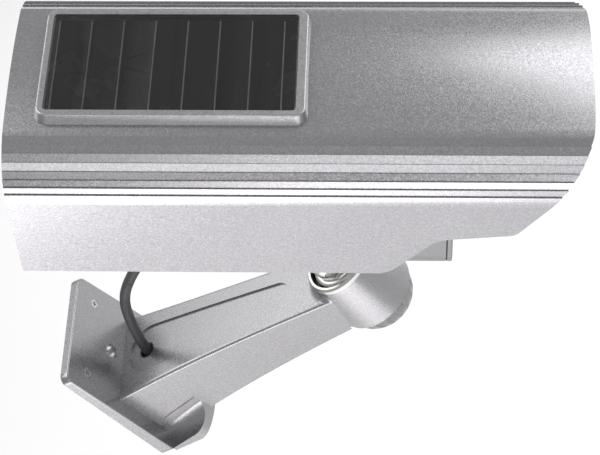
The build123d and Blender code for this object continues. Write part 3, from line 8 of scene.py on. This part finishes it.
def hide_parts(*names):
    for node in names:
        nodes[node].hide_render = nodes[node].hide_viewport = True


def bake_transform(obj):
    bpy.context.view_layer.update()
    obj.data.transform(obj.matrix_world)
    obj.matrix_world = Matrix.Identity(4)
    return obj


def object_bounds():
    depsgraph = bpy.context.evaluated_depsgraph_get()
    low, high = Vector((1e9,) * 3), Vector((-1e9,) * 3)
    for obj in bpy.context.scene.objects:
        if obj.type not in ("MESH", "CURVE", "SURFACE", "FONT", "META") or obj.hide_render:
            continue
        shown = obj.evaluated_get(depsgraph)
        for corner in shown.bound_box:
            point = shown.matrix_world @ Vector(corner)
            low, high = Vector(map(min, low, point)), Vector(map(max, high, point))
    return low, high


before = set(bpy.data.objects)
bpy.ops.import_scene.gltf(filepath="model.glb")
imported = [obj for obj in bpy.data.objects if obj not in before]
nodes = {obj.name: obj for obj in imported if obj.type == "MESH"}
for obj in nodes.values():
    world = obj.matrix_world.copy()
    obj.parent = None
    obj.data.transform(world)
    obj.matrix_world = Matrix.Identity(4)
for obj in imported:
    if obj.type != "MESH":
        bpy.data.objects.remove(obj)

# Everything is in metres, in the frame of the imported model: +X out of the wall,
# +Z up, and the origin at the centre of the wall plate's back face.
cad_low, cad_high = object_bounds()

# ---------------------------------------------------------------- camera
EYE = (0.7400, -0.6766, 0.7366)
AIM = (0.2161, -0.0578, 0.1025)
VIEW_UP = (0.3514, 0.7985, 0.4889)
LENS_MM = 128.12


def make_camera():
    data = bpy.data.cameras.new("view")
    data.lens = LENS_MM
    data.clip_start = 0.05
    data.clip_end = 30.0
    camera = bpy.data.objects.new("view", data)
    bpy.context.scene.collection.objects.link(camera)
    back = (Vector(EYE) - Vector(AIM)).normalized()
    right = Vector(VIEW_UP).cross(back).normalized()
    up = back.cross(right)
    turn = Matrix((right, up, back)).transposed().to_4x4()
    camera.matrix_world = Matrix.Translation(Vector(EYE)) @ turn
    bpy.context.scene.camera = camera


make_camera()

# ---------------------------------------------------------------- cable
# One route from inside the camera's gland down into the arm. It is made as two
# pieces that meet on the swivel, so that each of them crosses one joint.
CABLE_RADIUS = 0.003
CABLE_SIDES = 20
CABLE_ROUTE = (
    (0.12513, 0.0, 0.10669),
    (0.11092, 0.0, 0.08735),
    (0.0900, 0.0, 0.0752),
    (0.0670, 0.0, 0.0642),
    (0.0475, 0.0, 0.0498),
    (0.0354, 0.0, 0.0302),
    (0.0262, 0.0, 0.0100),
    (0.0214, 0.0, -0.0065),
    (0.0226, 0.0, -0.0200),
)
MEETING_HEIGHT = 0.0600


def route_points():
    """Points along the smooth NURBS line of the cable's route."""
    curve = bpy.data.curves.new("cable_route", "CURVE")
    curve.dimensions = "3D"
    curve.resolution_u = 24
    spline = curve.splines.new("NURBS")
    spline.points.add(len(CABLE_ROUTE) - 1)
    for point, place in zip(spline.points, CABLE_ROUTE):
        point.co = (*place, 1.0)
    spline.order_u = 3
    spline.use_endpoint_u = True
    holder = bpy.data.objects.new("cable_route", curve)
    bpy.context.scene.collection.objects.link(holder)
    depsgraph = bpy.context.evaluated_depsgraph_get()
    line = bpy.data.meshes.new_from_object(holder.evaluated_get(depsgraph))
    points = [vertex.co.copy() for vertex in line.vertices]
    bpy.data.objects.remove(holder)
    return points


def tube_rings(points, radius, sides):
    """A ring of points round each station, kept from twisting."""
    rings = []
    side = Vector((0, 1, 0))
    for index, point in enumerate(points):
        before = points[max(index - 1, 0)]
        after = points[min(index + 1, len(points) - 1)]
        along = (after - before).normalized()
        side = (side - along * side.dot(along)).normalized()
        other = along.cross(side)
        angles = [2 * pi * step / sides for step in range(sides)]
        rings.append([point + (side * cos(a) + other * sin(a)) * radius for a in angles])
    return rings


def link_mesh(name, bm, smooth=True):
    """Turn a bmesh into an object in the scene."""
    bmesh.ops.recalc_face_normals(bm, faces=bm.faces)
    mesh = bpy.data.meshes.new(name)
    bm.to_mesh(mesh)
    bm.free()
    for face in mesh.polygons:
        face.use_smooth = smooth
    piece = bpy.data.objects.new(name, mesh)
    bpy.context.scene.collection.objects.link(piece)
    return piece


def tube_piece(name, rings):
    """Closed tube through a list of rings."""
    bm = bmesh.new()
    levels = [[bm.verts.new(place) for place in ring] for ring in rings]
    count = len(rings[0])
    for low, high in zip(levels, levels[1:]):
        for step in range(count):
            after = (step + 1) % count
            bm.faces.new((low[step], low[after], high[after], high[step]))
    bm.faces.new(levels[0])
    bm.faces.new(list(reversed(levels[-1])))
    return link_mesh(name, bm)


def make_cable():
    points = route_points()
    meeting = min(range(len(points)), key=lambda i: abs(points[i].z - MEETING_HEIGHT))
    rings = tube_rings(points, CABLE_RADIUS, CABLE_SIDES)
    upper = tube_piece("cable_upper", rings[: meeting + 1])
    lower = tube_piece("cable_lower", rings[meeting:])
    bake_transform(upper)
    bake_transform(lower)
    for piece in (upper, lower):
        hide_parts("cable")


make_cable()


# ---------------------------------------------------------------- material helpers
class Look:
    """A material with a Principled shader and short calls for its texture nodes."""

    def __init__(self, name, colour, metallic=0.0, roughness=0.5, **sockets):
        self.material = bpy.data.materials.new(name)
        self.material.use_nodes = True
        self.tree = self.material.node_tree
        self.shader = self.tree.nodes["Principled BSDF"]
        self.shader.inputs["Base Color"].default_value = (*colour, 1.0)
        self.shader.inputs["Metallic"].default_value = metallic
        self.shader.inputs["Roughness"].default_value = roughness
        for socket, value in sockets.items():
            self.shader.inputs[socket.replace("_", " ")].default_value = value
        self.place = self.tree.nodes.new("ShaderNodeTexCoord").outputs["Object"]

    def link(self, source, target):
        self.tree.links.new(source, target)

    def stretched(self, scale, turn=(0.0, 0.0, 0.0)):
        """Object coordinates turned and then scaled along their axes."""
        node = self.tree.nodes.new("ShaderNodeMapping")
        node.inputs["Rotation"].default_value = turn
        node.inputs["Scale"].default_value = scale
        self.link(self.place, node.inputs["Vector"])
        return node.outputs["Vector"]

    def noise(self, scale, detail=2.0, roughness=0.5, place=None):
        node = self.tree.nodes.new("ShaderNodeTexNoise")
        node.inputs["Scale"].default_value = scale
        node.inputs["Detail"].default_value = detail
        node.inputs["Roughness"].default_value = roughness
        self.link(place or self.place, node.inputs["Vector"])
        return node.outputs["Fac"]

    def cells(self, scale):
        """A random value for each small grain."""
        node = self.tree.nodes.new("ShaderNodeTexVoronoi")
        node.inputs["Scale"].default_value = scale
        self.link(self.place, node.inputs["Vector"])
        split = self.tree.nodes.new("ShaderNodeSeparateColor")
        self.link(node.outputs["Color"], split.inputs["Color"])
        return split.outputs["Red"]

    def spread(self, value, low, high, start=0.0, end=1.0):
        """Map a texture value onto a range."""
        node = self.tree.nodes.new("ShaderNodeMapRange")
        node.inputs["From Min"].default_value = start
        node.inputs["From Max"].default_value = end
        node.inputs["To Min"].default_value = low
        node.inputs["To Max"].default_value = high
        self.link(value, node.inputs["Value"])
        return node.outputs["Result"]

    def ramp(self, value, *stops):
        """Colour ramp through (position, colour) stops."""
        node = self.tree.nodes.new("ShaderNodeValToRGB")
        steps = node.color_ramp.elements
        while len(steps) < len(stops):
            steps.new(1.0)
        for step, (position, colour) in zip(steps, stops):
            step.position = position
            step.color = (*colour, 1.0)
        self.link(value, node.inputs["Fac"])
        return node.outputs["Color"]

    def mix(self, share, first, second, mode="MIX"):
        """Mix two colour outputs; share is an output or a fixed number."""
        node = self.tree.nodes.new("ShaderNodeMix")
        node.data_type = "RGBA"
        node.blend_type = mode
        if isinstance(share, float):
            node.inputs["Factor"].default_value = share
        else:
            self.link(share, node.inputs["Factor"])
        colours = [socket for socket in node.inputs if socket.type == "RGBA"]
        self.link(first, colours[0])
        self.link(second, colours[1])
        return [socket for socket in node.outputs if socket.type == "RGBA"][0]

    def colour(self, output):
        self.link(output, self.shader.inputs["Base Color"])

    def rough(self, output):
        self.link(output, self.shader.inputs["Roughness"])

    def bump(self, height, distance, strength=1.0):
        node = self.tree.nodes.new("ShaderNodeBump")
        node.inputs["Distance"].default_value = distance
        node.inputs["Strength"].default_value = strength
        self.link(height, node.inputs["Height"])
        self.link(node.outputs["Normal"], self.shader.inputs["Normal"])

    def wear(self, *names):
        """Put this material on CAD nodes or pieces."""
        for name in names:
            piece = nodes.get(name) or bpy.data.objects[name]
            piece.data.materials.clear()
            piece.data.materials.append(self.material)


WHITE = (1, 1, 1)


def shade(colour, share):
    """A colour made lighter or darker by a share."""
    return tuple(min(channel * share, 1.0) for channel in colour)


# ---------------------------------------------------------------- materials
def metallic_paint(name, colour, roughness, grain, contrast, metallic=0.85, cloud=0.04):
    """Silver paint: fine metal flakes, a slight orange peel and soft cloudy patches."""
    look = Look(name, colour, metallic, roughness, Coat_Weight=0.12, Coat_Roughness=0.25)
    flakes = look.cells(grain)
    fleck = look.ramp(
        flakes,
        (0.0, shade(colour, 1 - contrast)),
        (0.8, shade(colour, 1 + contrast * 0.4)),
        (1.0, shade(colour, 1 + contrast * 1.6)),
    )
    clouds = look.ramp(look.noise(22.0, 3.0), (0.3, shade(WHITE, 1 - cloud)), (0.7, WHITE))
    look.colour(look.mix(1.0, fleck, clouds, "MULTIPLY"))
    look.rough(look.spread(look.noise(grain * 0.5), roughness - 0.07, roughness + 0.07, 0.3, 0.7))
    look.bump(flakes, 0.00002, 0.35)
    return look


def turned_metal(name, colour, roughness):
    """Machined metal with fine rings that run round the upright axis."""
    look = Look(name, colour, 1.0, roughness, Anisotropic=0.4)
    rings = look.noise(1.0, 2.0, place=look.stretched((60.0, 60.0, 5200.0)))
    look.colour(look.ramp(rings, (0.25, shade(colour, 0.88)), (0.75, colour)))
    look.rough(look.spread(rings, roughness - 0.08, roughness + 0.08, 0.3, 0.7))
    look.bump(rings, 0.00001, 0.3)
    return look


def plain_metal(name, colour, roughness):
    """Zinc-plated steel with fine scratches."""
    look = Look(name, colour, 1.0, roughness)
    scratches = look.noise(1.0, 3.0, place=look.stretched((400.0, 2600.0, 900.0)))
    look.colour(look.ramp(scratches, (0.3, shade(colour, 0.8)), (0.7, colour)))
    look.rough(look.spread(scratches, roughness - 0.08, roughness + 0.1, 0.3, 0.7))
    look.bump(scratches, 0.00001, 0.3)
    return look


def moulded(name, colour, roughness, grain=900.0, depth=0.00003):
    """Moulded plastic or rubber with a fine even texture and faint dust."""
    look = Look(name, colour, 0.0, roughness)
    texture = look.noise(grain, 3.0, 0.6)
    dust = look.noise(60.0, 4.0, 0.65)
    base = look.ramp(texture, (0.3, shade(colour, 0.8)), (0.7, shade(colour, 1.15)))
    pale = look.ramp(dust, (0.45, WHITE), (0.8, shade(WHITE, 0.86)))
    look.colour(look.mix(1.0, base, pale, "MULTIPLY"))
    look.rough(look.spread(dust, roughness - 0.06, roughness + 0.1, 0.35, 0.7))
    look.bump(texture, depth, 0.5)
    return look


def clear(name, colour, roughness=0.03):
    """Polished glass or clear plastic with a faint film of dust."""
    look = Look(name, colour, 0.0, roughness, Transmission_Weight=1.0, IOR=1.47,
                Specular_IOR_Level=0.2)
    film = look.noise(90.0, 4.0, 0.6)
    look.rough(look.spread(film, roughness, roughness + 0.05, 0.45, 0.75))
    return look


SILVER = (0.425, 0.418, 0.433)
CAST_SILVER = (0.355, 0.35, 0.36)
shield_paint = metallic_paint("shield_silver", SILVER, 0.24, 1700.0, 0.10)
frame_paint = metallic_paint("frame_silver", (0.42, 0.415, 0.425), 0.34, 1500.0, 0.12)
cast_paint = metallic_paint("cast_silver", CAST_SILVER, 0.30, 2200.0, 0.06, cloud=0.03)
housing_paint = metallic_paint("housing_silver", (0.27, 0.27, 0.275), 0.36, 2000.0, 0.06)
knob_paint = metallic_paint("knob_grey", (0.27, 0.27, 0.27), 0.35, 2000.0, 0.06)
bright = turned_metal("turned_bright", (0.78, 0.78, 0.76), 0.26)
steel = plain_metal("zinc_steel", (0.60, 0.60, 0.61), 0.34)
spacer = turned_metal("turned_spacer", (0.66, 0.66, 0.67), 0.32)
rubber = moulded("black_rubber", (0.020, 0.020, 0.021), 0.62, 1300.0, 0.00004)
plastic = moulded("black_plastic", (0.028, 0.028, 0.030), 0.45, 1600.0)
jacket = moulded("cable_jacket", (0.045, 0.044, 0.047), 0.50, 700.0, 0.00004)
chips = moulded("chip_black", (0.022, 0.022, 0.024), 0.55, 2400.0)
board = moulded("circuit_green", (0.018, 0.095, 0.045), 0.38, 500.0)
wrap = moulded("battery_wrap", (0.04, 0.16, 0.08), 0.30, 300.0)
glass = clear("clear_glass", (0.97, 0.985, 0.98))
filter_glass = clear("filter_glass", (0.55, 0.85, 0.88))
light_plastic = clear("light_plastic", (0.92, 0.93, 0.97), 0.08)


CAMERA_PITCH_DEG = 36.3


def solar_cell_look():
    """Near-black thin film with faint vertical bands."""
    look = Look("solar_cell", (0.014, 0.012, 0.014), 0.0, 0.22, Specular_IOR_Level=0.3)
    across = look.stretched((160.0, 4.0, 160.0), (0, radians(CAMERA_PITCH_DEG), 0))
    bands = look.noise(1.0, 2.0, place=across)
    look.colour(look.ramp(bands, (0.3, (0.010, 0.009, 0.011)), (0.7, (0.022, 0.018, 0.020))))
    look.rough(look.spread(look.noise(40.0, 3.0), 0.18, 0.30, 0.3, 0.7))
    return look


def panel_board_look():
    """Dull contact layer that shows as thin lines between the cells."""
    look = Look("panel_lines", (0.30, 0.27, 0.22), 0.4, 0.45)
    speck = look.noise(700.0, 3.0)
    look.colour(look.ramp(speck, (0.3, (0.16, 0.145, 0.115)), (0.7, (0.26, 0.24, 0.20))))
    return look


solar_cell = solar_cell_look()
panel_lines = panel_board_look()

shield_paint.wear("sun_shield")
frame_paint.wear("solar_frame")
cast_paint.wear("wall_plate", "arm", "arm_cover")
housing_paint.wear("camera_housing", "front_bezel", "rear_cover", "camera_foot")
knob_paint.wear("clamp_knob")
bright.wear("hub_ring", "swivel_yoke", "stem")
steel.wear("backing_plate", "plate_screws", "arm_screws", "arm_cover_screws")
steel.wear("tilt_pin", "thrust_washer", "clamp_screw", "lock_nut", "foot_screws")
steel.wear("shield_screws", "end_screws", "button_spring", "board_screws")
spacer.wear("shield_spacers", "board_posts")
rubber.wear("cable_grommet", "lead_bush", "front_gasket", "rear_gasket")
rubber.wear("window_gasket", "power_button")
# friction_washer is black so that it shows as the dark crescent in the gap round the swivel yoke:
# this black is painted shade standing in for the shadowed gap.
plastic.wear("friction_washer", "window_retainer", "lens_barrel", "lens_stop")
plastic.wear("lens_mount", "gland_body", "gland_cap", "battery_tray")
jacket.wear("cable", "solar_lead", "cable_upper", "cable_lower")
chips.wear("board_chips", "image_sensor", "light_sensor")
board.wear("led_board", "sensor_board", "main_board")
wrap.wear("battery_cells")
glass.wear("solar_cover", "front_window", "front_lens", "rear_lens")
filter_glass.wear("infrared_filter")
light_plastic.wear("infrared_lights", "status_light")
solar_cell.wear("solar_cells")
panel_lines.wear("solar_board")


# ---------------------------------------------------------------- softened edges
def soften(name, width, limit=38.0, segments=2):
    """Round a CAD node's sharp edges a little, so that they catch the light."""
    piece = nodes[name]
    weld = piece.modifiers.new("weld", "WELD")
    weld.merge_threshold = 0.000002
    bevel = piece.modifiers.new("soft_edge", "BEVEL")
    bevel.width = width
    bevel.segments = segments
    bevel.limit_method = "ANGLE"
    bevel.angle_limit = radians(limit)
    bevel.harden_normals = True


EDGE_WIDTHS = {
    "wall_plate": 0.0004,
    "front_bezel": 0.0003,
    "rear_cover": 0.0003,
    "camera_foot": 0.0004,
}
for node, width in EDGE_WIDTHS.items():
    soften(node, width)


# ---------------------------------------------------------------- stage and light
FLOOR_DROP = 0.42
FLOOR_HALF = 9.0


def make_floor():
    bm = bmesh.new()
    height = cad_low.z - FLOOR_DROP
    corners = [(-1, -1), (1, -1), (1, 1), (-1, 1)]
    bm.faces.new([bm.verts.new((x * FLOOR_HALF, y * FLOOR_HALF, height)) for x, y in corners])
    floor = link_mesh("floor", bm, smooth=False)
    look = Look("pale_floor", (0.93, 0.93, 0.93), 0.0, 0.9)
    look.colour(look.ramp(look.noise(2.0, 2.0), (0.3, shade(WHITE, 0.92)), (0.7, shade(WHITE, 0.94))))
    look.wear("floor")


def area_light(name, direction, distance, size, power, colour=(1, 1, 1)):
    """Softbox that faces the middle of the object."""
    data = bpy.data.lights.new(name, "AREA")
    data.shape = "RECTANGLE"
    data.size, data.size_y = size
    data.energy = power
    data.color = colour
    light = bpy.data.objects.new(name, data)
    bpy.context.scene.collection.objects.link(light)
    middle = (cad_low + cad_high) / 2
    away = Vector(direction).normalized()
    light.location = middle + away * distance
    light.rotation_euler = away.to_track_quat("Z", "Y").to_euler()


def make_world(colour, strength):
    world = bpy.data.worlds.new("studio")
    world.use_nodes = True
    background = world.node_tree.nodes["Background"]
    background.inputs["Color"].default_value = (*colour, 1.0)
    background.inputs["Strength"].default_value = strength
    bpy.context.scene.world = world


make_floor()
make_world((0.98, 0.98, 1.0), 0.42)
area_light("overhead", (-0.35, 0.22, 1.0), 1.9, (2.2, 2.2), 33.0)
area_light("side_band", (-0.28, -0.86, -0.38), 0.9, (1.5, 0.34), 4.6, (1.0, 0.985, 1.0))
area_light("camera_side", (0.20, -0.95, 0.30), 1.5, (1.2, 0.7), 4.0)
area_light("front_right", (1.0, 0.62, 0.30), 1.0, (0.7, 0.7), 4.0)
area_light("low_back", (-0.10, 1.0, 0.05), 1.3, (1.6, 0.5), 3.0)

bpy.context.scene.view_settings.view_transform = "Standard"
